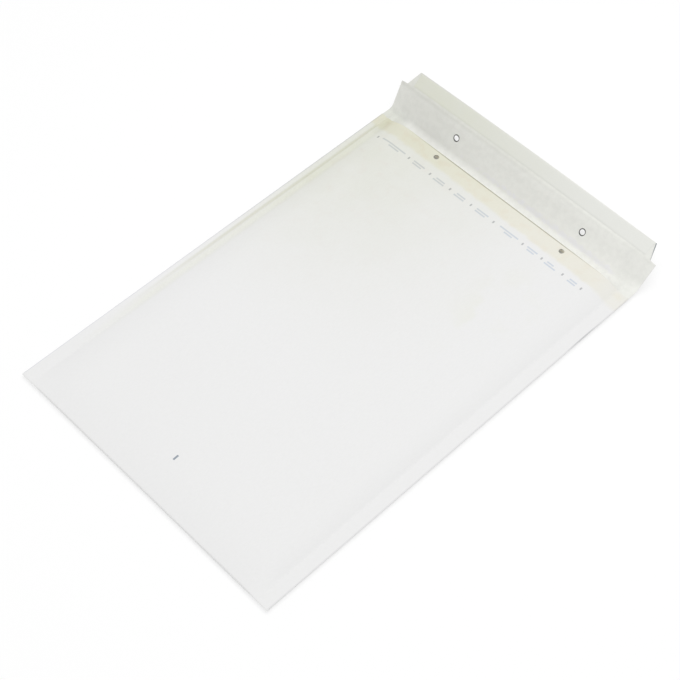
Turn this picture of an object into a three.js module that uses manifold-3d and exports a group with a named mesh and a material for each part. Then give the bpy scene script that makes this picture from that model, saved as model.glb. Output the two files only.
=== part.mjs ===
// Bubble mailer, lying on its back with its mouth open and its flap raised.
// Millimetres, +Z up. +Y runs from the bottom fold to the mouth and +X is the mailer's right-hand side.
// The origin is in the middle of the flat back, on the surface that the mailer lies on.

import * as THREE from 'three';
import { mergeVertices } from 'three/addons/utils/BufferGeometryUtils.js';
import Module from 'manifold-3d';

const wasm = await Module();
wasm.setup();

// Pouch outline
const pouchWidth = 240;
const pouchLength = 350; // bottom fold to flap crease
const seamWidth = 10;
const mouthSetBack = 6; // from the crease back to the middle of the front panel's edge
const mouthSkew = 1.3; // how much nearer the crease that edge is at the right-hand end

// Layers
const paperThickness = 0.3;
const filmThickness = 1.6; // one layer of bubble film, squashed as it lies empty
const pressedFilm = 0.2; // film welded flat inside a side seam
const pocketGap = 4.2; // free height between the two layers of film
const linerClearance = 0.3; // paper to film

// How the pouch swells up from its seams and its bottom fold
const seamLift = 3; // surface to the underside of a side seam
const shoulderRun = 20; // seam to the flat middle
const bottomRun = 36; // bottom fold to the flat middle
const foldNose = 1.3; // depth of the rounded turn at the bottom fold
const frontFillAtFold = 0.2; // share of the full swell that is reached at the fold
const backFillAtFold = 0.4;

// Liner outline
const linerSideGap = 2; // seam to the film's welded side
const linerFoldGap = 3; // bottom fold of the paper to that of the film
const linerNose = 1.2;
const linerMouthGap = 1; // front panel's edge to the film's edge
const sideWeld = 3.5; // width of the film's welded side
const bottomWeld = 4.5;

// Flap
const flapLength = 40;
const flapFoldAt = 27; // crease to the second fold
const creaseCurve = 6; // length of paper that bends at the crease
const flapFoldCurve = 2.4; // and at the second fold
const riseLeft = THREE.MathUtils.degToRad(68); // slope of the inner part of the flap, at each end
const riseRight = THREE.MathUtils.degToRad(42);
const flapFoldTurn = THREE.MathUtils.degToRad(22); // how much nearer level the outer band lies
const notchInset = 5.2; // side of the flap to the notched foot of the band
const tipInset = 10; // side of the flap to the corner of the tip
const notchRun = 0.5;

// Fastener holes, which meet when the flap is closed
const holeRadius = 2.1;
const holeHalfSpacing = 60.75;
const holeShift = 1.1; // both pairs sit a little to the right
const holeFromCrease = 15.4;
const holeFromMouthEdge = 5.2;

// Glue line on the flap and the release paper over it
const layerClearance = 0.2;
const glueThickness = 0.2;
const glueEdgeInset = 1.25; // edge of the release paper to the edge of the glue
const releaseThickness = 0.2;
const releaseFoldGap = 0.2; // second fold to the release paper
const releaseTipGap = 0.6; // tip of the flap to the release paper
const releaseEndInset = 1; // corner of the tip to the release paper's end
const glueEndInset = 3;

// Facets
const noseSteps = 6;
const holeSegments = 24;
const bottomRows = [0, 0.1, 0.25, 0.42, 0.65, 1];
const lengthRows = [0.3, 0.65, 1];
const shoulderColumns = [0.12, 0.27, 0.45, 0.67, 1];
const middleColumns = [0.17, 0.34, 0.5, 0.67, 0.84];
const creaseRows = [0.25, 0.5, 0.75, 1];
const bandRows = [0, 0.06, 0.12, 0.18, 0.6, 1];

// Sizes that follow
const halfWidth = pouchWidth / 2;
const seamInner = halfWidth - seamWidth;
const flatHalfWidth = seamInner - shoulderRun;
const seamTop = seamLift + 2 * paperThickness + pressedFilm;
const linerInset = paperThickness + linerClearance;
const pocketInset = linerInset + filmThickness;
const fullHeight = 2 * pocketInset + pocketGap;
const bandStart = flapFoldAt - flapFoldCurve / 2;
const notchHalfWidth = halfWidth - notchInset;
const tipHalfWidth = halfWidth - tipInset;
const glueOffset = paperThickness + layerClearance;
const releaseOffset = glueOffset + glueThickness + layerClearance;
const releaseFrom = flapFoldAt + flapFoldCurve / 2 + releaseFoldGap;
const releaseTo = flapLength - releaseTipGap;

const { lerp, clamp, smoothstep } = THREE.MathUtils;

// A rise from 0 to 1 that starts steeply and levels out.
const swell = (t) => 1 - (1 - clamp(t, 0, 1)) ** 2;

// Share of the full swell at a place on the pouch: 0 on the side seams and 1 over the flat middle.
function fill(x, y, fillAtFold) {
  const fromSide = swell((seamInner - Math.abs(x)) / shoulderRun);
  const fromFold = swell((y - foldNose) / bottomRun);
  return fromSide * lerp(fillAtFold, 1, fromFold);
}

const frontHeight = (x, y) => lerp(seamTop, fullHeight, fill(x, y, frontFillAtFold));
const backHeight = (x, y) => lerp(seamLift, 0, fill(x, y, backFillAtFold));
const mouthEdge = (x) => pouchLength - mouthSetBack + mouthSkew * x / halfWidth;

// Places along the pouch from y = from to y = to, closer together where it swells up.
function rowsAlong(from, to) {
  const swelling = bottomRows.map((share) => from + share * (foldNose + bottomRun - from));
  const rest = lengthRows.map((share) => lerp(swelling[swelling.length - 1], to, share));
  return [...swelling, ...rest];
}

// The pouch's section at x, inset from the paper's outside: the front, a rounded turn and the back.
function pouchPath(x, inset, foldAt, nose, frontEnd, backEnd) {
  const start = foldAt + nose;
  const top = frontHeight(x, start) - inset;
  const bottom = backHeight(x, start) + inset;
  const front = rowsAlong(start, frontEnd).map((y) => [y, frontHeight(x, y) - inset]);
  const back = rowsAlong(start, backEnd).map((y) => [y, backHeight(x, y) + inset]);
  const turn = [];
  for (let step = 1; step < noseSteps; step++) {
    const angle = Math.PI * step / noseSteps;
    const z = (top + bottom) / 2 + (top - bottom) / 2 * Math.cos(angle);
    turn.push([start - nose * Math.sin(angle), z]);
  }
  return [...front.reverse(), ...turn, ...back];
}

// A point of the flap at x, a length s past the crease and offset to the flap's inner side.
// The crease sags between the seams, and the flap runs straight from one seam to the other by its second fold.
function flapPoint(x, s, offset) {
  const across = 0.5 + x / pouchWidth;
  const rise = lerp(riseLeft, riseRight, across);
  const tip = rise - flapFoldTurn;
  const stretches = [
    { length: creaseCurve, from: 0, to: rise },
    { length: bandStart - creaseCurve, from: rise, to: rise },
    { length: flapFoldCurve, from: rise, to: tip },
    { length: flapLength, from: tip, to: tip },
  ];
  let y = pouchLength;
  const sag = seamLift - backHeight(x, pouchLength);
  let z = backHeight(x, pouchLength) + sag * smoothstep(s, 0, bandStart);
  let slope = 0;
  let left = s;
  for (const { length, from, to } of stretches) {
    const run = clamp(left, 0, length);
    const end = lerp(from, to, run / length);
    const halfTurn = (end - from) / 2;
    const chord = halfTurn === 0 ? run : run * Math.sin(halfTurn) / halfTurn;
    y += chord * Math.cos(from + halfTurn);
    z += chord * Math.sin(from + halfTurn);
    slope = run > 0 ? end : slope;
    left -= run;
  }
  return { y: y - offset * Math.sin(slope), z: z + offset * Math.cos(slope), slope };
}

// Length of the flap at x: the band's ends are tapered, and a notch steps in at its foot.
function flapReach(x) {
  const side = Math.abs(x);
  if (side <= tipHalfWidth) {
    return flapLength;
  }
  if (side <= notchHalfWidth) {
    const taper = (side - tipHalfWidth) / (notchHalfWidth - tipHalfWidth);
    return lerp(flapLength, flapFoldAt + notchRun, taper);
  }
  return lerp(flapFoldAt + notchRun, flapFoldAt, (side - notchHalfWidth) / (halfWidth - notchHalfWidth));
}

function flapPath(x, offset) {
  const reach = flapReach(x);
  const crease = creaseRows.map((share) => share * creaseCurve);
  const band = bandRows.map((share) => lerp(bandStart, reach, share));
  return [...crease, ...band].map((s) => {
    const { y, z } = flapPoint(x, s, offset);
    return [y, z];
  });
}

// A closed solid through sections in planes across X, all with the same number of points.
// The second half of a sheet's section runs back along its first half, and its facets are split along the same
// diagonals, so that a twisted sheet keeps its thickness.
function loft(stations, sectionAt) {
  const sections = stations.map(sectionAt);
  const count = sections[0].length;
  const positions = sections.flatMap((section, i) => section.flatMap(([y, z]) => [stations[i], y, z]));
  const faces = [];
  for (let i = 0; i + 1 < sections.length; i++) {
    for (let j = 0; j < count; j++) {
      const a = i * count + j;
      const b = i * count + (j + 1) % count;
      if (j < count / 2) {
        faces.push([a, b, b + count], [a, b + count, a + count]);
      } else {
        faces.push([a, b, a + count], [b, b + count, a + count]);
      }
    }
  }
  const lastStart = (sections.length - 1) * count;
  const capOf = (section) => {
    const outline = section.map(([y, z]) => new THREE.Vector2(y, z));
    return THREE.ShapeUtils.triangulateShape(outline, []);
  };
  // Triangulated caps wind anticlockwise seen from +X, so the first one is turned over.
  const firstCap = capOf(sections[0]).map(([a, b, c]) => [a, c, b]);
  const lastCap = capOf(sections[sections.length - 1]).map((face) => face.map((n) => n + lastStart));
  const anticlockwise = THREE.ShapeUtils.area(sections[0].map(([y, z]) => ({ x: y, y: z }))) > 0;
  const walls = anticlockwise ? faces.map(([a, b, c]) => [a, b, c]) : faces.map(([a, b, c]) => [a, c, b]);
  const geometry = new THREE.BufferGeometry();
  geometry.setAttribute('position', new THREE.Float32BufferAttribute(positions, 3));
  geometry.setIndex([...walls, ...firstCap, ...lastCap].flat());
  return geometry;
}

function toSolid(geometry) {
  const bare = geometry.clone();
  bare.deleteAttribute('normal');
  bare.deleteAttribute('uv');
  const merged = mergeVertices(bare, 1e-5);
  return new wasm.Manifold(new wasm.Mesh({
    numProp: 3,
    vertProperties: new Float32Array(merged.attributes.position.array),
    triVerts: new Uint32Array(merged.index.array),
  }));
}

function toGeometry(solid) {
  const { vertProperties, triVerts } = solid.getMesh();
  const geometry = new THREE.BufferGeometry();
  geometry.setAttribute('position', new THREE.BufferAttribute(new Float32Array(vertProperties), 3));
  geometry.setIndex(new THREE.BufferAttribute(new Uint32Array(triVerts), 1));
  geometry.computeVertexNormals();
  return geometry;
}

// A round punch whose axis leans back from vertical by slope.
function punch(x, y, z, slope, depth) {
  const geometry = new THREE.CylinderGeometry(holeRadius, holeRadius, depth, holeSegments);
  geometry.rotateX(Math.PI / 2 + slope);
  geometry.translate(x, y, z);
  return toSolid(geometry);
}

const holeColumns = [holeShift - holeHalfSpacing, holeShift + holeHalfSpacing];

// Both halves of a set of places across the mailer, from left to right and each of them once.
function mirrored(places) {
  const right = [...new Set(places)].filter((x) => x > 0).sort((a, b) => a - b);
  return [...right.map((x) => -x).reverse(), 0, ...right];
}

// One folded sheet of paper: front panel, bottom fold, back panel and flap, with its welded side seams.
function paperEnvelope() {
  const columns = mirrored([
    halfWidth,
    notchHalfWidth,
    tipHalfWidth,
    seamInner,
    ...shoulderColumns.map((share) => seamInner - share * shoulderRun),
    ...middleColumns.map((share) => share * flatHalfWidth),
  ]);
  const sheet = loft(columns, (x) => {
    const outside = pouchPath(x, 0, 0, foldNose, mouthEdge(x), pouchLength);
    const nose = foldNose - paperThickness;
    const inside = pouchPath(x, paperThickness, paperThickness, nose, mouthEdge(x), pouchLength);
    return [...outside, ...flapPath(x, 0), ...flapPath(x, paperThickness).reverse(), ...inside.reverse()];
  });
  let envelope = toSolid(sheet);

  // The seam's weld reaches into the middle of both layers of paper.
  const reach = paperThickness / 2;
  for (const side of [-1, 1]) {
    const ends = [side * seamInner, side * (halfWidth - reach)].sort((a, b) => a - b);
    const weld = loft(ends, (x) => pouchPath(
      x, reach, reach, foldNose - reach, mouthEdge(x) - reach, mouthEdge(x) - reach,
    ));
    envelope = envelope.add(toSolid(weld));
  }

  for (const x of holeColumns) {
    const { y, z, slope } = flapPoint(x, holeFromCrease, paperThickness / 2);
    const throughFlap = punch(x, y, z, slope, 4 * holeRadius);
    const throughPanel = panelPunch(x);
    envelope = envelope.subtract(throughFlap).subtract(throughPanel);
  }
  return toGeometry(envelope);
}

// The punch that goes through the front panel and the film behind it, and stops in the pocket.
function panelPunch(x) {
  const bottom = fullHeight - pocketInset - pocketGap / 2;
  const depth = 2 * (fullHeight - bottom);
  return punch(x, mouthEdge(x) - holeFromMouthEdge, bottom + depth / 2, 0, depth);
}

// One folded piece of bubble film, welded along its sides and open at the mouth.
function bubbleLiner() {
  const side = seamInner - linerSideGap;
  const weldSide = side - sideWeld;
  const linerEnd = (x) => mouthEdge(x) - linerMouthGap;
  const flatColumns = middleColumns.map((share) => share * flatHalfWidth);
  const shoulder = shoulderColumns.map((share) => seamInner - share * shoulderRun);
  const outerColumns = mirrored([side, ...shoulder.filter((x) => x < side), ...flatColumns]);
  const pocketColumns = mirrored([weldSide, ...shoulder.filter((x) => x < weldSide), ...flatColumns]);

  const pad = loft(outerColumns, (x) => pouchPath(
    x, linerInset, linerFoldGap, linerNose, linerEnd(x), linerEnd(x),
  ));
  const pocketStart = linerFoldGap + bottomWeld;
  const pocket = loft(pocketColumns, (x) => {
    const top = (y) => frontHeight(x, y) - pocketInset;
    const bottom = (y) => backHeight(x, y) + pocketInset;
    const least = pressedFilm / 2;
    const rows = rowsAlong(pocketStart, pouchLength + mouthSetBack);
    const ceiling = rows.map((y) => [y, Math.max(top(y), (top(y) + bottom(y)) / 2 + least)]);
    const floor = rows.map((y) => [y, Math.min(bottom(y), (top(y) + bottom(y)) / 2 - least)]);
    return [...ceiling.reverse(), ...floor];
  });
  let liner = toSolid(pad).subtract(toSolid(pocket));
  for (const x of holeColumns) {
    liner = liner.subtract(panelPunch(x));
  }
  return toGeometry(liner);
}

// A thin strip laid along the band of the flap, from one length past the crease to another.
function bandStrip(from, to, endHalfWidth, offset, thickness) {
  const places = middleColumns.map((share) => share * flatHalfWidth);
  return loft(mirrored([endHalfWidth, flatHalfWidth, ...places]), (x) => {
    const corners = [[from, offset], [to, offset], [to, offset + thickness], [from, offset + thickness]];
    return corners.map(([s, height]) => {
      const { y, z } = flapPoint(x, s, height);
      return [y, z];
    });
  });
}

function flapAdhesive() {
  const end = tipHalfWidth - glueEndInset;
  return bandStrip(releaseFrom + glueEdgeInset, releaseTo - glueEdgeInset, end, glueOffset, glueThickness);
}

function releaseStrip() {
  return bandStrip(releaseFrom, releaseTo, tipHalfWidth - releaseEndInset, releaseOffset, releaseThickness);
}

const whitePaper = new THREE.MeshStandardMaterial({ color: 0xedede8, roughness: 0.75, metalness: 0 });
const clearFilm = new THREE.MeshStandardMaterial({ color: 0xe3e8ea, roughness: 0.25, metalness: 0 });
const hotMelt = new THREE.MeshStandardMaterial({ color: 0xe0d9a8, roughness: 0.3, metalness: 0 });
const siliconePaper = new THREE.MeshStandardMaterial({ color: 0xe4e4d6, roughness: 0.4, metalness: 0 });

const pieces = [
  ['paper_envelope', paperEnvelope(), whitePaper],
  ['bubble_liner', bubbleLiner(), clearFilm],
  ['flap_adhesive', flapAdhesive(), hotMelt],
  ['release_strip', releaseStrip(), siliconePaper],
];

const mailer = new THREE.Group();
mailer.position.y = -pouchLength / 2;
for (const [name, geometry, material] of pieces) {
  const mesh = new THREE.Mesh(geometry, material);
  mesh.name = name;
  mailer.add(mesh);
}

export default mailer;
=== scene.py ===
import math

import bmesh
import bpy
import numpy as np
from mathutils import Matrix, Vector


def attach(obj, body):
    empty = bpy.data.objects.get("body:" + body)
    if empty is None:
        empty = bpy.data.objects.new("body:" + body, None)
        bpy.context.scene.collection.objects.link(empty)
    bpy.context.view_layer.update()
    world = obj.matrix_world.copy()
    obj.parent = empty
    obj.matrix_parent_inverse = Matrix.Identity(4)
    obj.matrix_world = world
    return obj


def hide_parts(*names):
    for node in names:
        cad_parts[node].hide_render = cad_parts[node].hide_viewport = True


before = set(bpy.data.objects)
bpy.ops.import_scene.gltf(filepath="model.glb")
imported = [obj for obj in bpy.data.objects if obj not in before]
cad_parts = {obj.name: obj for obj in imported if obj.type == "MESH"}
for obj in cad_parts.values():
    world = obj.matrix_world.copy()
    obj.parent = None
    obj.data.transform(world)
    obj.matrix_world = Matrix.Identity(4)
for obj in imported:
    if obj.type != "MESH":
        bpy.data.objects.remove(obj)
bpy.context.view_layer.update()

# Sizes are in millimetres. Y runs from the bottom fold to the mouth, and X from left to right.
MM = 0.001
pouch_width = 240.0
pouch_length = 350.0
half_width = pouch_width / 2
seam_inner = half_width - 10.0
mouth_set_back = 6.0
mouth_skew = 1.3

paper_thickness = 0.3
pressed_film = 0.2
liner_inset = 0.6
pocket_inset = 2.2
film_skin = 0.12
seam_lift = 3.0
seam_top = seam_lift + 2 * paper_thickness + pressed_film
full_height = 8.6

shoulder_run = 20.0
soft_shoulder_run = 27.0
bottom_run = 36.0
fold_nose = 1.3
front_fill_at_fold = 0.2
back_fill_at_fold = 0.4

liner_side = seam_inner - 2.0
liner_weld = 3.5
liner_fold_at = 3.0
liner_nose = 1.2
liner_bottom_weld = 4.5
liner_mouth_gap = 1.0
weld_overlap = 0.6
hem_overlap = 1.4

flap_length = 40.0
flap_fold_at = 27.0
crease_curve = 6.0
flap_fold_curve = 2.4
band_start = flap_fold_at - flap_fold_curve / 2
rise_left = math.radians(68)
rise_right = math.radians(42)
flap_fold_turn = math.radians(22)
notch_half_width = half_width - 5.2
tip_half_width = half_width - 10.0
notch_run = 0.5
band_taper = (notch_half_width - tip_half_width) / (flap_length - flap_fold_at - notch_run)

hole_radius = 2.1
hole_shift = 1.1
hole_half_spacing = 60.75
hole_columns = (hole_shift - hole_half_spacing, hole_shift + hole_half_spacing)
hole_from_crease = 15.4
hole_from_mouth_edge = 5.2
film_hole_radius = 3.2

glue_offset = 0.34
glue_thickness = 0.12
release_offset = 0.48
release_thickness = 0.12
release_from = 28.4
release_to = flap_length - 0.6
glue_edge_inset = 1.25

bubble_pitch = 11.4
bubble_row_pitch = bubble_pitch * math.sqrt(3) / 2
bubble_width = 10.0
bubble_top = pocket_inset - film_skin
bubbles_from_weld = 6.5
bubbles_from_mouth = 7.5


# How the pouch swells

def swell(t):
    """A rise from 0 to 1 that starts steeply and levels out."""
    return 1 - (1 - np.clip(t, 0, 1)) ** 2


def ease(t):
    """A rise from 0 to 1 that starts and ends level."""
    t = np.clip(t, 0, 1)
    return t * t * (3 - 2 * t)


def hump(value, middle, width):
    """A smooth rise to 1 at the middle, which is nearly gone two widths away."""
    return np.exp(-((value - middle) / width) ** 2)


def fill(x, y, fill_at_fold):
    """Share of the full swell: 0 on the side seams and 1 over the flat middle.
    The lower left shoulder is softer."""
    softened = (x < 0) * (1 - ease((y - 70) / 150))
    run = shoulder_run + (soft_shoulder_run - shoulder_run) * softened
    from_side = swell((seam_inner - np.abs(x)) / run)
    from_fold = swell((y - fold_nose) / bottom_run)
    return from_side * (fill_at_fold + (1 - fill_at_fold) * from_fold)


def mouth_edge(x):
    """Y of the front panel's edge at the mouth, which is slightly skewed."""
    return pouch_length - mouth_set_back + mouth_skew * x / half_width


def seam_relief(x, y):
    """The left seam's turned-up edge and the groove beside it, deepest towards the mouth."""
    lip = 0.45 * hump(x, -118.6, 1.3)
    groove = 0.6 * hump(x, -115.1, 1.0)
    return (lip - groove) * ease((y - 50) / 150)


def panel_wave(x, y):
    """Low swells in the front panel, which fade out at its seams, its fold and its mouth."""
    inside = swell((seam_inner - np.abs(x)) / 45) * swell(y / 60) * swell((mouth_edge(x) - y) / 45)
    broad = np.sin(x / 29 + 0.7) * np.sin(y / 43 + 0.4)
    slanted = 0.6 * np.sin((x + 0.8 * y) / 24)
    return 0.38 * inside * (broad + slanted)


def front_height(x, y):
    """Height of the front panel's outer side."""
    level = seam_top + (full_height - seam_top) * fill(x, y, front_fill_at_fold)
    return level + seam_relief(x, y) + panel_wave(x, y)


def back_height(x, y):
    """Height of the back panel's outer side, which rises from the table to the seams."""
    return seam_lift * (1 - fill(x, y, back_fill_at_fold)) + seam_relief(x, y)


def flap_places(x, s, offset):
    """Y and Z of the flap at x, a length s past the crease and offset to its inner side, and its slope there.
    The crease sags between the seams, and the flap runs straight across by its second fold."""
    rise = rise_left + (rise_right - rise_left) * (0.5 + x / pouch_width)
    tip = rise - flap_fold_turn
    stretches = [
        (crease_curve, 0 * rise, rise),
        (band_start - crease_curve, rise, rise),
        (flap_fold_curve, rise, tip),
        (flap_length, tip, tip),
    ]
    left = s + 0 * x
    y = pouch_length + 0 * left
    sag = seam_lift - back_height(x, pouch_length)
    z = back_height(x, pouch_length) + sag * ease(left / band_start)
    slope = 0 * left
    for length, start, end in stretches:
        run = np.clip(left, 0, length)
        here = start + (end - start) * run / length
        half_turn = (here - start) / 2
        chord = run * np.sinc(half_turn / np.pi)
        y = y + chord * np.cos(start + half_turn)
        z = z + chord * np.sin(start + half_turn)
        slope = np.where(run > 0, here, slope)
        left = left - run
    ripple = 0.16 * np.sin(x / 17 + 0.5) * ease(s / 20) * ease((half_width - np.abs(x)) / 15)
    offset = offset + ripple
    return y - offset * np.sin(slope), z + offset * np.cos(slope), slope


def flap_reach(x):
    """Length of the flap at x: the band's ends are tapered, and a notch steps in at its foot."""
    side = np.abs(x)
    notch = flap_fold_at + notch_run
    return np.interp(side, [tip_half_width, notch_half_width, half_width], [flap_length, notch, flap_fold_at])


# Places along and across the sheets

def spaced(*stretches):
    """Numbers from the first stretch's start to the last one's end. A stretch is its start, end and steps."""
    parts = [np.linspace(start, end, steps, endpoint=False) for start, end, steps in stretches]
    return np.concatenate(parts + [[stretches[-1][1]]])


right_columns = spaced(
    (0, 96, 40), (96, seam_inner, 12), (seam_inner, notch_half_width, 9), (notch_half_width, half_width, 10),
)
paper_columns = np.concatenate([-right_columns[:0:-1], right_columns])
front_shares = spaced((0, 0.02, 5), (0.02, 0.09, 10), (0.09, 0.94, 62), (0.94, 1, 12))
back_shares = spaced((0, 0.02, 4), (0.02, 0.09, 8), (0.09, 1, 46))
crease_steps = spaced((0.75, crease_curve, 7))
band_shares = spaced((0, 0.25, 6), (0.25, 1, 6))
inner_flap_steps = spaced((crease_curve, band_start, 9))[1:-1]
nose_steps = 8


def pouch_places(
    x, inset, fold_at, nose, front_end, back_end, front_rows=front_shares, back_rows=back_shares,
):
    """Places on the pouch, inset from the paper's outside: the front from the mouth, the fold, the back."""
    x = x[:, None]
    start = fold_at + nose
    front_y = start + (front_end(x) - start) * front_rows[None, ::-1]
    back_y = start + (back_end(x) - start) * back_rows[None, :]
    top = front_height(x, start) - inset
    bottom = back_height(x, start) + inset
    angle = np.pi * np.arange(1, nose_steps)[None, :] / nose_steps
    turn_y = start - nose * np.sin(angle) + 0 * x
    turn_z = (top + bottom) / 2 + (top - bottom) / 2 * np.cos(angle)
    y = np.concatenate([front_y, turn_y, back_y], axis=1)
    z = np.concatenate([front_height(x, front_y) - inset, turn_z, back_height(x, back_y) + inset], axis=1)
    return np.stack([x + 0 * y, y, z], axis=-1)


def flap_sheet(x, offset):
    """Places on the flap from the crease to its tip, offset to its inner side."""
    x = x[:, None]
    band = band_start + (flap_reach(x) - band_start) * band_shares[None, :]
    first = np.concatenate([crease_steps, inner_flap_steps])[None, :] + 0 * x
    s = np.concatenate([first, band], axis=1)
    y, z, _ = flap_places(x, s, offset)
    return np.stack([x + 0 * y, y, z], axis=-1)


# Mesh helpers

def finished_mesh(name, places, faces, sharp_degrees=40):
    """A mesh from places in millimetres, put where the mailer lies and smooth between sharp edges."""
    mesh = bpy.data.meshes.new(name)
    moved = (np.asarray(places, float) - [0, pouch_length / 2, 0]) * MM
    mesh.from_pydata(moved.tolist(), [], faces)
    return smoothed(mesh, sharp_degrees)


def smoothed(mesh, sharp_degrees=40):
    """The mesh with its faces pointing out, smooth between sharp edges."""
    shell = bmesh.new()
    shell.from_mesh(mesh)
    bmesh.ops.recalc_face_normals(shell, faces=shell.faces)
    shell.to_mesh(mesh)
    shell.free()
    mesh.polygons.foreach_set("use_smooth", [True] * len(mesh.polygons))
    mesh.set_sharp_from_angle(angle=math.radians(sharp_degrees))
    return mesh


def closed_sheet(name, outer, inner, materials):
    """A closed sheet between two grids of places. The first material is outside and the second within."""
    stations, points = outer.shape[:2]
    ring = 2 * points
    places = np.concatenate([outer, inner[:, ::-1]], axis=1).reshape(-1, 3)
    faces = []
    sides = []
    for i in range(stations - 1):
        for j in range(ring):
            a = i * ring + j
            b = i * ring + (j + 1) % ring
            faces.append((a, b, b + ring, a + ring))
            sides.append(0 if j < points else len(materials) - 1)
    for i in (0, stations - 1):
        for j in range(points - 1):
            a = i * ring + j
            c = i * ring + ring - 1 - j
            faces.append((a, a + 1, c - 1, c))
            sides.append(0)
    mesh = finished_mesh(name, places, faces)
    for material in materials:
        mesh.materials.append(material)
    mesh.polygons.foreach_set("material_index", sides)
    return mesh


def closed_ring(name, rings):
    """A closed solid through rings of places, capped at both ends."""
    stations, ring = rings.shape[:2]
    faces = []
    for i in range(stations - 1):
        for j in range(ring):
            a = i * ring + j
            b = i * ring + (j + 1) % ring
            faces.append((a, b, b + ring, a + ring))
    faces.append(tuple(range(ring)))
    faces.append(tuple(range((stations - 1) * ring, stations * ring)))
    return finished_mesh(name, rings.reshape(-1, 3), faces)


def shown(name, mesh, *materials):
    """An object of the mesh. Materials that the mesh has already stay, with the faces that chose them."""
    piece = bpy.data.objects.new(name, mesh)
    bpy.context.scene.collection.objects.link(piece)
    for material in materials[len(mesh.materials):]:
        mesh.materials.append(material)
    return piece


def joined(name, meshes):
    """One mesh out of several."""
    whole = bmesh.new()
    for mesh in meshes:
        whole.from_mesh(mesh)
    mesh = bpy.data.meshes.new(name)
    whole.to_mesh(mesh)
    whole.free()
    for used in meshes:
        bpy.data.meshes.remove(used)
    return mesh


def mark_places(mesh):
    """Writes two attributes: front, which is 1 on the front panel's outer side and 0 elsewhere, and
    from_crease, the length past the crease on the flap, which is below 0 on the pouch."""
    places = np.empty(len(mesh.vertices) * 3)
    mesh.vertices.foreach_get("co", places)
    x, y, z = (places.reshape(-1, 3) / MM + [0, pouch_length / 2, 0]).T
    on_front = (y > fold_nose - 0.05) & (y < mouth_edge(x) + 0.05) & (abs(z - front_height(x, y)) < 0.08)
    from_crease = np.minimum(y - pouch_length, 0)
    on_flap = np.flatnonzero(y > pouch_length + 0.3)
    lengths = np.linspace(0, flap_length, 401)
    flap_y, flap_z, _ = flap_places(x[on_flap, None], lengths[None, :], paper_thickness / 2)
    misses = (flap_y - y[on_flap, None]) ** 2 + (flap_z - z[on_flap, None]) ** 2
    from_crease[on_flap] = lengths[np.argmin(misses, axis=1)]
    for name, values in (("front", on_front), ("from_crease", from_crease)):
        attribute = mesh.attributes.new(name, "FLOAT", "POINT")
        attribute.data.foreach_set("value", values.astype(float))


def punched(mesh, punches, radius=hole_radius):
    """The mesh with round holes. A punch is its middle in millimetres, its lean backwards, and its depth."""
    tools = bmesh.new()
    for (x, y, z), lean, depth in punches:
        place = Matrix.Translation(Vector((x, y - pouch_length / 2, z)) * MM) @ Matrix.Rotation(lean, 4, "X")
        bmesh.ops.create_cone(
            tools, cap_ends=True, segments=40, radius1=radius * MM, radius2=radius * MM,
            depth=depth * MM, matrix=place,
        )
    tool_mesh = bpy.data.meshes.new("punches")
    tools.to_mesh(tool_mesh)
    tools.free()
    tool = bpy.data.objects.new("punches", tool_mesh)
    blank = bpy.data.objects.new("blank", mesh)
    for thing in (tool, blank):
        bpy.context.scene.collection.objects.link(thing)
    cut = blank.modifiers.new("punched holes", "BOOLEAN")
    cut.operation = "DIFFERENCE"
    cut.solver = "EXACT"
    cut.object = tool
    ready = blank.evaluated_get(bpy.context.evaluated_depsgraph_get())
    result = bpy.data.meshes.new_from_object(ready)
    bpy.data.objects.remove(blank)
    bpy.data.objects.remove(tool)
    bpy.data.meshes.remove(tool_mesh)
    bpy.data.meshes.remove(mesh)
    return smoothed(result)


# Node trees

class Wire:
    """A value in a node tree. Sums and products of wires add Math nodes."""

    def __init__(self, tree, socket):
        self.tree = tree
        self.socket = socket

    def work_out(self, operation, other=0.0, flipped=False):
        """A Math node on this value and another, in this order unless it is flipped."""
        first, second = (other, self) if flipped else (self, other)
        return self.tree.node("ShaderNodeMath", {"operation": operation}, {0: first, 1: second})

    def __add__(self, other):
        return self.work_out("ADD", other)

    def __sub__(self, other):
        return self.work_out("SUBTRACT", other)

    def __mul__(self, other):
        return self.work_out("MULTIPLY", other)

    def __truediv__(self, other):
        return self.work_out("DIVIDE", other)

    def __pow__(self, other):
        return self.work_out("POWER", other)

    def __rsub__(self, other):
        return self.work_out("SUBTRACT", other, flipped=True)

    def __abs__(self):
        return self.work_out("ABSOLUTE")

    __radd__ = __add__
    __rmul__ = __mul__


class Tree:
    """A node tree that nodes are added to one at a time."""

    def __init__(self, nodes):
        self.nodes = nodes

    def node(self, kind, settings=None, sockets=None, output=0):
        """Adds a node. Its settings, such as a ramp's stops, are made before its sockets are filled."""
        added = self.nodes.nodes.new(kind)
        for name, value in (settings or {}).items():
            if name == "stops":
                self.set_stops(added.color_ramp, value)
            else:
                setattr(added, name, value)
        for name, value in (sockets or {}).items():
            self.feed(added.inputs[name], value)
        return Wire(self, added.outputs[output])

    def all_of(self, wire):
        """Wires from every output of the node that the wire comes from."""
        return [Wire(self, socket) for socket in wire.socket.node.outputs]

    def set_stops(self, ramp, stops):
        ramp.interpolation = "CONSTANT"
        while len(ramp.elements) > 1:
            ramp.elements.remove(ramp.elements[-1])
        ramp.elements[0].position, ramp.elements[0].color = stops[0]
        for position, colour in stops[1:]:
            ramp.elements.new(position).color = colour

    def feed(self, socket, value):
        if isinstance(value, Wire):
            self.nodes.links.new(value.socket, socket)
        else:
            socket.default_value = value


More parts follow.
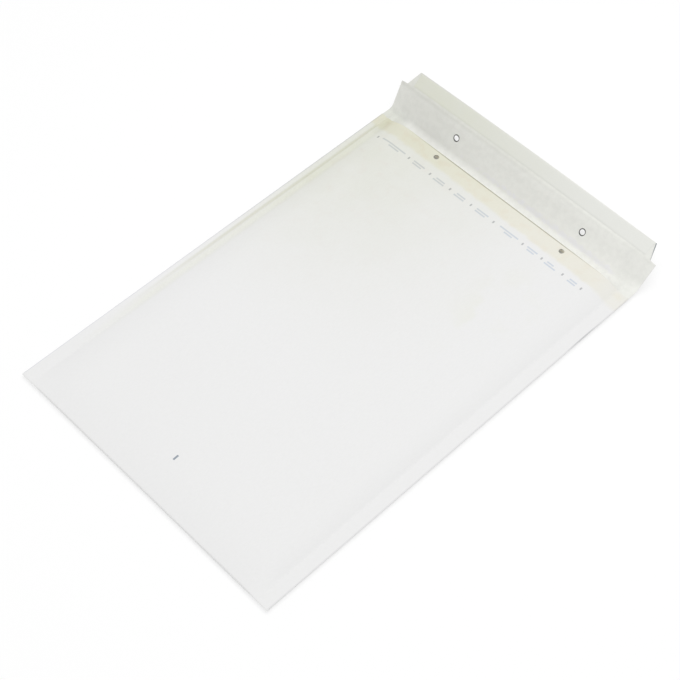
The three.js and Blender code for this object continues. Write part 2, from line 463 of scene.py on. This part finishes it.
class Finish(Tree):
    """A material with one shader. What is the same all over is set on the shader's own sockets."""

    def __init__(self, name, **steady):
        self.material = bpy.data.materials.new(name)
        self.material.use_nodes = True
        super().__init__(self.material.node_tree)
        self.nodes.nodes.clear()
        self.shader = self.nodes.nodes.new("ShaderNodeBsdfPrincipled")
        surface = self.nodes.nodes.new("ShaderNodeOutputMaterial")
        self.nodes.links.new(self.shader.outputs[0], surface.inputs[0])
        for socket, value in steady.items():
            self.shader.inputs[socket.replace("_", " ")].default_value = value
        self.place = self.node("ShaderNodeTexCoord", output="Object")
        x, y, _ = self.all_of(self.node("ShaderNodeSeparateXYZ", sockets={0: self.place}))
        self.x = x * 1000
        self.y = y * 1000 + pouch_length / 2

    def finish(self, socket, value):
        self.feed(self.shader.inputs[socket], value)

    def eased(self, value, low, high):
        """0 where value is low and 1 where it is high."""
        sockets = {"Value": value, "From Min": low, "From Max": high}
        return self.node("ShaderNodeMapRange", {"interpolation_type": "SMOOTHSTEP"}, sockets)

    def bump_at(self, value, middle, width):
        """1 where value is at the middle, falling to 0 a width away."""
        return self.eased(abs(value - middle), width, 0.0)

    def within(self, value, low, high, soft=0.05):
        """1 where value is between low and high, with soft ends."""
        return self.eased(value, low - soft, low + soft) * self.eased(value, high + soft, high - soft)

    def noise(self, size, detail=2.0, stretch=(1, 1, 1), at=(0, 0, 0)):
        """Cloudy noise from 0 to 1 whose patches are about so many millimetres across."""
        turned = {"Vector": self.place, "Scale": stretch, "Location": at}
        place = self.node("ShaderNodeMapping", sockets=turned)
        sockets = {"Vector": place, "Scale": 1000 / size, "Detail": detail}
        return self.node("ShaderNodeTexNoise", sockets=sockets)

    def tint(self, colour, mask, shade):
        """The colour times the shade where the mask is 1, and nowhere brighter than white."""
        settings = {"data_type": "RGBA", "blend_type": "MULTIPLY", "clamp_result": True}
        shade = shade if isinstance(shade, Wire) else (*shade, 1)
        return self.node("ShaderNodeMix", settings, {0: mask, 6: colour, 7: shade}, output=2)

    def roughen(self, *layers):
        """Bumps from pairs of a height and a depth in millimetres."""
        normal = None
        for height, depth in layers:
            sockets = {"Height": height, "Distance": depth * MM, "Strength": 1.0}
            if normal:
                sockets["Normal"] = normal
            normal = self.node("ShaderNodeBump", sockets=sockets)
        self.finish("Normal", normal)


# Finishes

paper_white = (0.80, 0.80, 0.80, 1)

# The row of small marks under the mouth: blunt ticks between blocks of two short bars
tick_places = (-104.4, -72.9, -51.8, -31.7, -11.2, 10.8, 38.4, 56.4, 75.9, 92.9)
block_bars = (
    ((-100.3, -77.4), (-92.5, -82.6)),
    ((-68.5, -57.8), (-68.1, -59.7)),
    ((-45.9, -37.8), (-47.5, -37.2)),
    ((-25.6, -17.5), (-26.8, -17.3)),
    ((-6.0, 5.1), (-6.0, 3.3)),
    ((16.4, 33.7), (22.0, 29.4)),
    ((42.2, 51.8), (43.4, 50.1)),
    ((60.9, 67.0), (59.8, 69.9)),
    ((81.8, 88.2), (81.2, 88.3)),
)
bar_rows = (324.4, 322.2)
bar_height = 1.15
tick_row = 323.6
tick_height = 2.3
tick_width = 1.3
print_stretches = ((-106, -60), (-60, -13), (-13, 36), (36, 99))


def mark_stops(low, high):
    """Ramp stops from low to high: red for the ticks, and green and blue for the two rows of bars."""
    spans = [(0, x - tick_width / 2, x + tick_width / 2) for x in tick_places]
    spans += [(row, *bar) for block in block_bars for row, bar in zip((1, 2), block)]
    edges = sorted({end for _, *ends in spans for end in ends if low < end < high})
    stops = []
    for start, end in zip([low] + edges, edges + [high]):
        middle = (start + end) / 2
        inked = [float(any(row == kind and a < middle < b for kind, a, b in spans)) for row in range(3)]
        stops.append(((start - low) / (high - low), (*inked, 1.0)))
    return stops


def mark_masks(paper):
    """Masks of the row of marks, which runs along the mouth's edge: its ticks and its bars."""
    ticks = 0.0
    bars = 0.0
    for low, high in print_stretches:
        share = (paper.x - low) / (high - low)
        ramp = paper.node("ShaderNodeValToRGB", {"stops": mark_stops(low, high)}, {"Fac": share})
        tick, *rows = paper.all_of(paper.node("ShaderNodeSeparateColor", sockets={0: ramp}))
        here = paper.within(paper.x, low, high, 0.01)
        ticks = ticks + tick * here
        for row, middle in zip(rows, bar_rows):
            across = paper.within(paper.level, middle - bar_height / 2, middle + bar_height / 2, 0.5)
            bars = bars + row * here * across
    across = paper.within(paper.level, tick_row - tick_height / 2, tick_row + tick_height / 2, 0.4)
    return ticks * across, bars


class Paper(Finish):
    """White mailer paper with fibres. Its colour is built up in tints, one over the other: its own yellowing,
    glue, print and grain, and painted light and shade. Its level is the length from the bottom fold at mid
    width, along rows that follow the mouth's edge."""

    def __init__(self, name):
        super().__init__(name, Specular_IOR_Level=0.35)
        self.clouds = self.noise(26, 3.0)
        self.blotches = self.noise(9, 2.0, at=(0.3, 0.1, 0))
        self.fibres = self.noise(0.9, 3.0, stretch=(1, 0.35, 1))
        self.front = self.node("ShaderNodeAttribute", {"attribute_name": "front"}, output="Fac")
        self.from_crease = self.node("ShaderNodeAttribute", {"attribute_name": "from_crease"}, output="Fac")
        self.level = self.y - mouth_skew / half_width * self.x
        self.colour = paper_white
        self.paint_stain_or_light(self.fibres, (0.955, 0.955, 0.95))

    # Lays a tint over the colour: the paper's own colour, or painted light or shade.
    def paint_stain_or_light(self, mask, shade):
        self.colour = self.tint(self.colour, mask, shade)

    def paint_front_stain_or_light(self, mask, shade):
        """A tint on the front panel's outer side alone: its own colour, or painted shade."""
        self.paint_stain_or_light(mask * self.front, shade)


def yellow_with_age(paper):
    """Yellows the front panel, most of all towards its top left corner."""
    aged = paper.eased(paper.y, 120, 330) * paper.eased(paper.x, 90, -125) * (0.55 + 0.75 * paper.clouds)
    paper.paint_front_stain_or_light(aged, (0.885, 0.895, 0.815))
    pinkish = paper.eased(paper.blotches, 0.5, 0.72)
    paper.paint_front_stain_or_light(aged * pinkish * 0.6, (0.985, 0.955, 0.95))
    faint = paper.bump_at(paper.x, 62, 34) * paper.bump_at(paper.y, 262, 62)
    paper.paint_front_stain_or_light(faint * paper.eased(paper.clouds, 0.46, 0.62) * 0.7, (0.975, 0.98, 0.92))


def show_glue(paper):
    """Lets the glue under the mouth show through, more towards the left, with a spot on the right, and paints
    shade on the left shoulder by the mouth.
    """
    glue = paper.eased(paper.y + 4 * paper.blotches, 330.6, 334.6) * (0.7 + 0.35 * paper.clouds)
    glue = glue * (1 - 0.4 * paper.eased(paper.x, 90, 108))
    paper.paint_front_stain_or_light(glue, (0.97, 0.95, 0.845))
    towards_left = paper.eased(paper.x, -20, -100) * paper.eased(paper.y, 342, 338)
    paper.paint_front_stain_or_light(glue * towards_left, (0.985, 0.985, 0.98))
    orange = paper.eased(paper.blotches, 0.48, 0.66)
    paper.paint_front_stain_or_light(glue * orange * 0.45, (0.985, 0.95, 0.92))
    # Painted shade: grey on the left shoulder's slope just under the mouth.
    corner = paper.eased(paper.y, 318, 333) * paper.bump_at(paper.x, -110.5, 6)
    paper.paint_front_stain_or_light(corner, (0.93, 0.93, 0.93))
    spot = paper.bump_at(paper.x, 113.5, 7) * paper.bump_at(paper.y, 341.5, 5)
    paper.paint_front_stain_or_light(glue * spot, (0.985, 0.965, 0.88))


def shade_edges(paper):
    """Paints shade into the left seam's groove and onto its slope, along the side edges, and along the middle
    of the mouth's edge.
    """
    sideways = 0.7 * paper.eased(paper.y, 280, 200)
    # Painted shade, olive, in the left seam's groove, fading out near the mouth.
    groove = paper.bump_at(paper.x + sideways, -114.9, 1.9) * paper.eased(paper.y, 60, 190)
    groove = groove * paper.eased(paper.y, 334, 329)
    paper.paint_front_stain_or_light(groove * 0.9, (0.86, 0.86, 0.78))
    # Partly painted shade on the left shoulder's slope, which faces away from the light, and partly a yellow
    # tint along the seam.
    slope = paper.bump_at(paper.x, -111.5, 5.5) * paper.eased(paper.y, 24, 120)
    paper.paint_front_stain_or_light(slope * (0.4 + 0.6 * paper.clouds), (0.95, 0.955, 0.88))
    # Painted shade along the left side edge, bluish grey.
    left_edge_shade = paper.eased(paper.x, -119.0, -119.6) * (0.55 + 0.45 * paper.eased(paper.y, 120, 270))
    paper.paint_front_stain_or_light(left_edge_shade, (0.84, 0.85, 0.90))
    # Painted shade along the right side edge, darkest a little below the mouth.
    right_edge_shade = paper.eased(paper.x, 118.9, 119.5) * (0.25 + 0.75 * paper.bump_at(paper.y, 298, 22))
    paper.paint_front_stain_or_light(right_edge_shade, (0.66, 0.67, 0.68))
    # Painted shadow along the middle of the front panel's edge at the mouth, where the gap under it is dark.
    mouth_rim_shadow = paper.eased(paper.level, 342.9, 343.6) * paper.eased(abs(paper.x - 2), 100, 42)
    paper.paint_front_stain_or_light(mouth_rim_shadow, (0.50, 0.49, 0.41))


def print_marks(paper):
    """Prints the row of marks, greyer on the left and bluer on the right, and a tick near the bottom fold."""
    ticks, bars = mark_masks(paper)
    inks = {0: paper.eased(paper.x, -60, 60), 6: (0.73, 0.76, 0.80, 1), 7: (0.72, 0.78, 0.87, 1)}
    ink = paper.node("ShaderNodeMix", {"data_type": "RGBA"}, inks, output=2)
    paper.paint_front_stain_or_light(bars, ink)
    paper.paint_front_stain_or_light(ticks, (0.58, 0.59, 0.60))
    low_tick = paper.within(paper.x, 1.2, 2.6, 0.15) * paper.within(paper.y, 27.6, 32.0, 0.25)
    paper.paint_front_stain_or_light(low_tick, (0.36, 0.41, 0.47))


def tone_inside(paper):
    """Tones the inner side: creamy and mottled, with painted light past the flap's crease, and painted shade
    in the left corner by the crease, past the second fold, along the band's right end and in the pocket.
    """
    from_crease = paper.from_crease
    paper.paint_stain_or_light(1.0, (1.055, 1.06, 1.01))
    paper.paint_stain_or_light(paper.eased(paper.noise(4, 3.0), 0.35, 0.65), (0.962, 0.962, 0.962))
    # Painted light: the flap's inner side is lighter a short way past the crease, less so at the left right
    # by the crease.
    pale = paper.bump_at(from_crease, 7.5, 13.5) * paper.eased(abs(paper.x), 113, 92)
    pale = pale * (1 - 0.8 * paper.eased(paper.x, 50, -90) * paper.eased(from_crease, 7, 1))
    paper.paint_stain_or_light(pale, (1.19, 1.19, 1.19))
    # More painted light just past the crease, strongest towards the right.
    painted_light_by_crease = paper.bump_at(from_crease, 6, 6) * (0.4 + 0.6 * paper.eased(paper.x, -70, 30))
    paper.paint_stain_or_light(painted_light_by_crease, (1.09, 1.09, 1.09))
    ends = paper.eased(paper.x, -40, -105) + paper.eased(paper.x, 88, 105)
    paper.paint_stain_or_light(ends, (0.955, 0.955, 0.955))
    # Painted shade in the left corner beside the crease.
    left_corner_shade = paper.eased(paper.x, -98, -108) * paper.eased(from_crease, 7, 2)
    paper.paint_stain_or_light(left_corner_shade, (0.87, 0.88, 0.85))
    # More painted shade just past the crease in the left corner.
    crease_corner_shade = paper.eased(paper.x, -98, -106) * paper.bump_at(from_crease, 2, 4)
    paper.paint_stain_or_light(crease_corner_shade, (0.93, 0.93, 0.94))
    # Painted shade over the flap past its second fold, strongest towards the left.
    fold = paper.eased(from_crease, 23, 26.5) * (1 - 0.65 * paper.eased(paper.x, -30, 60))
    paper.paint_stain_or_light(fold, (0.90, 0.90, 0.885))
    band_end = notch_half_width - (from_crease - flap_fold_at) * band_taper
    # Painted shade along the band's right end edge, darker towards the tip.
    right_rim_shade = paper.eased(paper.x - band_end, -0.75, -0.4) * paper.eased(from_crease, 27.4, 27.9)
    right_rim_shade = right_rim_shade * (0.4 + 0.6 * paper.eased(from_crease, 29, 38))
    paper.paint_stain_or_light(right_rim_shade, (0.36, 0.39, 0.43))
    # Painted shade inside the pocket: brown-grey dimness seen through the mouth and the front holes.
    pocket_shade = paper.eased(from_crease, -2.4, -4.0) * paper.eased(abs(paper.x), 104, 90)
    paper.paint_stain_or_light(pocket_shade, (0.58, 0.54, 0.45))


def paint_hole_rim_shade(paper):
    """Paints a narrow rim of dark shade round each of the flap's two holes."""
    for column in hole_columns:
        away = ((paper.x - column) ** 2.0 + (paper.from_crease - hole_from_crease) ** 2.0) ** 0.5
        # Painted shade: a dark ring round the hole.
        rim = paper.eased(away, hole_radius + 0.65, hole_radius + 0.4)
        paper.paint_stain_or_light(rim, (0.1, 0.1, 0.1))


def paper_finish(name, printed):
    """One side of the paper: the printed outside, or the plain inner side."""
    paper = Paper(name)
    if printed:
        yellow_with_age(paper)
        show_glue(paper)
        shade_edges(paper)
        print_marks(paper)
    else:
        tone_inside(paper)
    paint_hole_rim_shade(paper)
    paper.finish("Base Color", paper.colour)
    paper.finish("Roughness", 0.56 + 0.14 * paper.fibres)
    paper.roughen((paper.clouds, 0.25), (paper.fibres, 0.03))
    return paper.material


def film_finish():
    """Clear soft film, a little milky where it is creased."""
    film = Finish("clear bubble film", Base_Color=(0.82, 0.83, 0.82, 1), Specular_IOR_Level=0.6)
    haze = film.noise(7, 3.0)
    film.finish("Alpha", 0.18 + 0.26 * haze)
    film.finish("Roughness", 0.1 + 0.16 * haze)
    film.roughen((film.noise(3.5, 2.0), 0.05))
    return film.material


def glue_finish():
    """Cream hot-melt glue, laid on in fine lengthwise streaks."""
    glue = Finish("hot-melt glue", Specular_IOR_Level=0.5)
    streaks = glue.noise(1.6, 3.0, stretch=(0.12, 1, 1))
    colour = glue.tint((0.72, 0.66, 0.43, 1), streaks, (0.9, 0.88, 0.8))
    glue.finish("Base Color", colour)
    glue.finish("Roughness", 0.22 + 0.2 * streaks)
    glue.roughen((streaks, 0.08))
    return glue.material


def release_finish():
    """Silicone-coated release paper, cream and slightly glossy, and yellower towards its left end."""
    release = Finish("release paper", Specular_IOR_Level=0.45)
    clouds = release.noise(16, 3.0)
    grain = release.noise(0.8, 3.0, stretch=(0.4, 1, 1))
    colour = release.tint((0.722, 0.728, 0.692, 1), grain, (0.96, 0.96, 0.955))
    left_end = release.eased(release.x, 70, -110) * (0.4 + 0.9 * clouds)
    colour = release.tint(colour, left_end, (0.955, 0.96, 0.875))
    release.finish("Base Color", colour)
    release.finish("Roughness", 0.36 + 0.16 * clouds)
    release.roughen((clouds, 0.12), (grain, 0.02))
    return release.material


# Pieces

def panel_punches():
    """Punches through the front panel and the film behind it."""
    into_pocket = 2.3
    depth = 2 * (pocket_inset + into_pocket)
    return [((x, mouth_edge(x) - hole_from_mouth_edge, full_height), 0.0, depth) for x in hole_columns]


def flap_punches():
    """Punches square to the flap, with their middle inside its paper."""
    depth = 4 * hole_radius
    punches = []
    for x in hole_columns:
        y, z, slope = flap_places(np.float64(x), np.float64(hole_from_crease), paper_thickness / 2)
        punches.append(((x, float(y), float(z)), float(slope), depth))
    return punches


def make_envelope(outside, inside):
    """One folded sheet of paper with its flap, its welded side seams and its punched holes."""
    crease_at = lambda x: pouch_length + 0 * x
    outer = pouch_places(paper_columns, 0.0, 0.0, fold_nose, mouth_edge, crease_at)
    inner = pouch_places(
        paper_columns, paper_thickness, paper_thickness, fold_nose - paper_thickness, mouth_edge, crease_at,
    )
    outer = np.concatenate([outer, flap_sheet(paper_columns, 0.0)], axis=1)
    inner = np.concatenate([inner, flap_sheet(paper_columns, paper_thickness)], axis=1)
    sheet = closed_sheet("mailer paper", outer, inner, [outside, inside])
    sheet = punched(sheet, panel_punches() + flap_punches())
    reach = paper_thickness / 2
    weld_end = lambda x: mouth_edge(x) - reach
    welds = []
    for side in (-1, 1):
        columns = side * spaced((seam_inner, half_width - reach, 18))
        rings = pouch_places(columns, reach, reach, fold_nose - reach, weld_end, weld_end)
        welds.append(closed_ring("seam weld", rings))
    mesh = joined("paper_sheet", [sheet, *welds])
    mark_places(mesh)
    return shown("paper_sheet", mesh, outside, inside)


def bubble_places():
    """Places and outward directions of the bubbles, in a close hexagonal pattern on both layers of film."""
    first_row = liner_fold_at + liner_bottom_weld + bubbles_from_weld
    last_row = pouch_length - mouth_set_back - bubbles_from_mouth
    half_row = 8 * bubble_pitch
    holes = [(x, mouth_edge(x) - hole_from_mouth_edge) for x in hole_columns]
    free_of_holes = film_hole_radius + bubble_width / 2
    places = []
    leans = []
    for number, y in enumerate(np.arange(first_row, last_row, bubble_row_pitch)):
        start = -half_row - bubble_pitch / 2 * (number % 2)
        for x in np.arange(start, half_row + bubble_pitch / 2 + 0.1, bubble_pitch):
            if min(math.hypot(x - a, y - b) for a, b in holes) < free_of_holes:
                continue
            for side, height in ((1, front_height), (-1, back_height)):
                z = float(height(x, y)) - side * bubble_top
                across = float(height(x + 0.5, y)) - float(height(x - 0.5, y))
                along = float(height(x, y + 0.5)) - float(height(x, y - 0.5))
                lean = Vector((-across, -along, 1)).normalized() * side
                places.append((x * MM, (y - pouch_length / 2) * MM, z * MM))
                leans.append(lean)
    return places, leans


def bubble_rows():
    """The tree that sets a flat-topped bubble on each place of a layer of film, leaning as the place says."""
    group = bpy.data.node_groups.new("bubble rows", "GeometryNodeTree")
    sides = group.interface
    sides.new_socket(name="Geometry", in_out="INPUT", socket_type="NodeSocketGeometry")
    width = sides.new_socket(name="Bubble width", in_out="INPUT", socket_type="NodeSocketFloat")
    height = sides.new_socket(name="Bubble height", in_out="INPUT", socket_type="NodeSocketFloat")
    film = sides.new_socket(name="Film", in_out="INPUT", socket_type="NodeSocketMaterial")
    sides.new_socket(name="Geometry", in_out="OUTPUT", socket_type="NodeSocketGeometry")
    tree = Tree(group)
    start = group.nodes.new("NodeGroupInput")
    points, across, high, finish = [Wire(tree, start.outputs[number]) for number in range(4)]
    drum = tree.node(
        "GeometryNodeMeshCylinder", {"fill_type": "NGON"},
        {"Vertices": 12, "Side Segments": 3, "Radius": 0.5, "Depth": 1.0},
    )
    place = tree.node("GeometryNodeInputPosition")
    parts = tree.node("ShaderNodeSeparateXYZ", sockets={0: place})
    x, y, z = tree.all_of(parts)
    up = z + 0.5
    narrowed = (1 - 0.62 * up ** 3.0) ** 0.5 * across
    shaped = tree.node("ShaderNodeCombineXYZ", sockets={0: x * narrowed, 1: y * narrowed, 2: up * high})
    bubble = tree.node("GeometryNodeSetPosition", sockets={"Geometry": drum, "Position": shaped})
    bubble = tree.node("GeometryNodeSetShadeSmooth", sockets={"Geometry": bubble, "Shade Smooth": True})
    lean = tree.node("GeometryNodeInputNamedAttribute", {"data_type": "FLOAT_VECTOR"}, {"Name": "lean"})
    turned = tree.node("FunctionNodeAlignRotationToVector", {"axis": "Z"}, {"Vector": lean})
    rows = tree.node(
        "GeometryNodeInstanceOnPoints", sockets={"Points": points, "Instance": bubble, "Rotation": turned},
    )
    rows = tree.node("GeometryNodeRealizeInstances", sockets={"Geometry": rows})
    rows = tree.node("GeometryNodeSetMaterial", sockets={"Geometry": rows, "Material": finish})
    end = group.nodes.new("NodeGroupOutput")
    tree.feed(end.inputs[0], rows)
    return group, {width: bubble_width * MM, height: (bubble_top - liner_inset) * MM}, film


def make_bubbles(film):
    """A plain mesh of all the bubbles, made by the tree from their places."""
    places, leans = bubble_places()
    dots = bpy.data.meshes.new("bubble places")
    dots.from_pydata(places, [], [])
    dots.attributes.new("lean", "FLOAT_VECTOR", "POINT").data.foreach_set("vector", np.array(leans).ravel())
    carrier = bpy.data.objects.new("bubble places", dots)
    bpy.context.scene.collection.objects.link(carrier)
    group, sizes, material_socket = bubble_rows()
    rows = carrier.modifiers.new("bubble rows", "NODES")
    rows.node_group = group
    for socket, size in sizes.items():
        rows[socket.identifier] = size
    rows[material_socket.identifier] = film
    ready = carrier.evaluated_get(bpy.context.evaluated_depsgraph_get())
    mesh = bpy.data.meshes.new_from_object(ready)
    bpy.data.objects.remove(carrier)
    bpy.data.meshes.remove(dots)
    return mesh


def make_liner(film):
    """Bubble film folded once inside the paper: a flat film round the pocket, its bubbles, and its welds."""
    end = lambda x: mouth_edge(x) - liner_mouth_gap
    rows = spaced((0, 0.1, 8), (0.1, 0.94, 40), (0.94, 1, 8))
    pocket_side = liner_side - liner_weld
    right = spaced((0, 90, 18), (90, pocket_side, 10))
    columns = np.concatenate([-right[:0:-1], right])
    fold = liner_fold_at + liner_bottom_weld
    skin = [
        pouch_places(columns, inset, fold - inset + pocket_inset, liner_nose, end, end, rows, rows)
        for inset in (pocket_inset - film_skin, pocket_inset)
    ]
    flat_film = punched(closed_sheet("flat film", *skin, [film]), panel_punches(), film_hole_radius)
    welds = []
    weld_inset = liner_inset + film_skin
    weld_shape = (weld_inset, liner_fold_at, liner_nose)
    for side in (-1, 1):
        places = side * spaced((pocket_side - weld_overlap, liner_side, 6))
        rings = pouch_places(places, *weld_shape, end, end, rows, rows)
        welds.append(closed_ring("side weld", rings))
    places = spaced((-pocket_side, pocket_side, 40))
    hem_end = lambda x: fold + hem_overlap + 0 * x
    hem_rows = spaced((0, 1, 5))
    rings = pouch_places(places, *weld_shape, hem_end, hem_end, hem_rows, hem_rows)
    welds.append(closed_ring("bottom weld", rings))
    mesh = joined("bubble_film", [flat_film, *welds, make_bubbles(film)])
    return shown("bubble_film", mesh, film)


def make_band_strip(name, low, high, end, offset, edge_offset, thickness, finish):
    """A thin strip laid along the flap's band, from one length past the crease to another.
    Its edges come down to the edge offset."""
    hem = 1.2
    right = spaced((0, end - hem, 58), (end - hem, end, 5))
    columns = np.concatenate([-right[:0:-1], right])[:, None]
    s = spaced((low, low + hem, 5), (low + hem, high - hem, 9), (high - hem, high, 5))[None, :]
    from_edge = np.minimum(np.minimum(s - low, high - s), end - np.abs(columns))
    under = edge_offset + (offset - edge_offset) * ease(from_edge / hem)
    sides = []
    for height in (under, under + thickness):
        y, z, _ = flap_places(columns, s, height)
        sides.append(np.stack([columns + 0 * y, y, z], axis=-1))
    return shown(name, closed_sheet(name, *sides, [finish]), finish)


outside_paper = paper_finish("printed side of the paper", printed=True)
inside_paper = paper_finish("inner side of the paper", printed=False)
film = film_finish()

envelope = make_envelope(outside_paper, inside_paper)
liner = make_liner(film)
glue = make_band_strip(
    "glue_line", release_from + glue_edge_inset, release_to - glue_edge_inset, tip_half_width - 3.0,
    glue_offset, glue_offset, glue_thickness, glue_finish(),
)
release = make_band_strip(
    "release_paper", release_from, release_to, tip_half_width - 1.0,
    release_offset, paper_thickness + 0.03, release_thickness, release_finish(),
)

for piece, node, slot in (
    (envelope, "paper_envelope", "white_paper"),
    (liner, "bubble_liner", "bubble_film"),
    (glue, "flap_adhesive", "hot_melt"),
    (release, "release_strip", "silicone_paper"),
):
    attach(piece, "root")
    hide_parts(node)


# Floor, light and camera

floor_white = 0.39
floor_glow = 0.58


def make_floor():
    """A plain pale floor, lit a little from below as on a light table, so that its shadows stay faint."""
    mesh = bpy.data.meshes.new("floor")
    reach = 4.0
    corners = [(-reach, -reach, 0), (reach, -reach, 0), (reach, reach, 0), (-reach, reach, 0)]
    mesh.from_pydata(corners, [], [(0, 1, 2, 3)])
    floor = Finish(
        "pale floor", Roughness=0.9, Specular_IOR_Level=0.1,
        Emission_Color=(1, 1, 1, 1), Emission_Strength=floor_glow,
    )
    shade = floor.tint((*[floor_white] * 3, 1), floor.noise(400, 1.0), (0.995, 0.995, 0.995))
    floor.finish("Base Color", shade)
    shown("floor", mesh, floor.material)


def add_light(name, place, target, size, power):
    """A round soft light at a place, turned towards its target."""
    lamp = bpy.data.lights.new(name, "AREA")
    lamp.shape = "DISK"
    lamp.size = size
    lamp.energy = power
    light = bpy.data.objects.new(name, lamp)
    light.location = place
    light.rotation_euler = (Vector(target) - Vector(place)).to_track_quat("-Z", "Y").to_euler()
    bpy.context.scene.collection.objects.link(light)


def make_studio():
    """White light from all round, and one soft box above the mailer."""
    world = bpy.data.worlds.new("studio")
    world.use_nodes = True
    background = world.node_tree.nodes["Background"]
    background.inputs["Color"].default_value = (1, 1, 1, 1)
    background.inputs["Strength"].default_value = 0.68
    bpy.context.scene.world = world
    add_light("soft box", place=(0.05, 0.15, 1.8), target=(0, 0, 0), size=1.7, power=16.2)
    bpy.context.scene.view_settings.view_transform = "Standard"


def make_camera():
    """The camera that fits the pouch's four corners in the photograph."""
    place = (0.4533, -0.4759, 0.9441)
    forward = Vector((-0.3905, 0.4151, -0.8217)).normalized()
    roughly_up = Vector((-0.5982, 0.5641, 0.5692))
    right = forward.cross(roughly_up).normalized()
    up = right.cross(forward)
    camera = bpy.data.cameras.new("camera")
    camera.sensor_width = 36.0
    camera.sensor_fit = "HORIZONTAL"
    camera.lens = 88.7
    camera.clip_end = 50
    holder = bpy.data.objects.new("camera", camera)
    turn = Matrix((right, up, -forward)).transposed().to_4x4()
    holder.matrix_world = Matrix.Translation(place) @ turn
    bpy.context.scene.collection.objects.link(holder)
    bpy.context.scene.camera = holder


make_floor()
make_studio()
make_camera()
